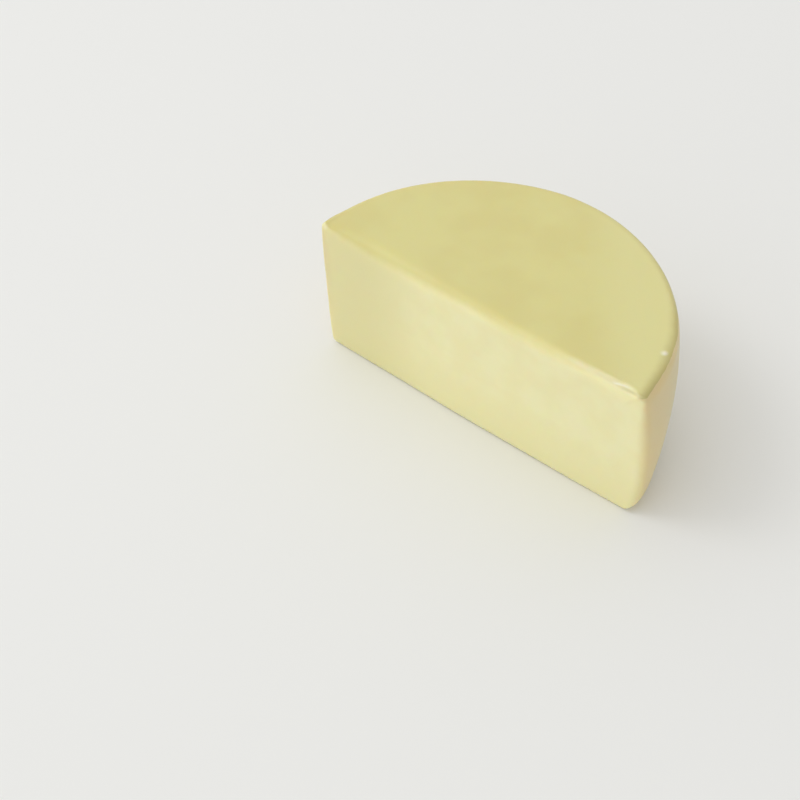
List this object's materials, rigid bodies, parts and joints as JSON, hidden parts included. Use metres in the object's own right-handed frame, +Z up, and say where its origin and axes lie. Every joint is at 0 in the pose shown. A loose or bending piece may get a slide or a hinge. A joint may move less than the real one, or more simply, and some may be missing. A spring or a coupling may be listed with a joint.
{
  "type": "minas padrao cheese",
  "caption": "Half of a round, low, semi-firm white cheese, cut straight through its middle, with soft rims and a slightly bulging wall. It rests on its flat base.",
  "frame": {"origin": "on the flat base, at the middle of the half's bounding box", "axes": "+X along the straight cut, +Y from the cut towards the round wall, +Z up"},
  "size_m": [0.1452, 0.0712, 0.059],
  "materials": {
    "cheese": "smooth and waxy, semi-gloss: a pale cream cut face and an olive-yellow skin"
  },
  "bodies": {
    "root": {"half_cheese": "cheese"}
  },
  "joints": []
}
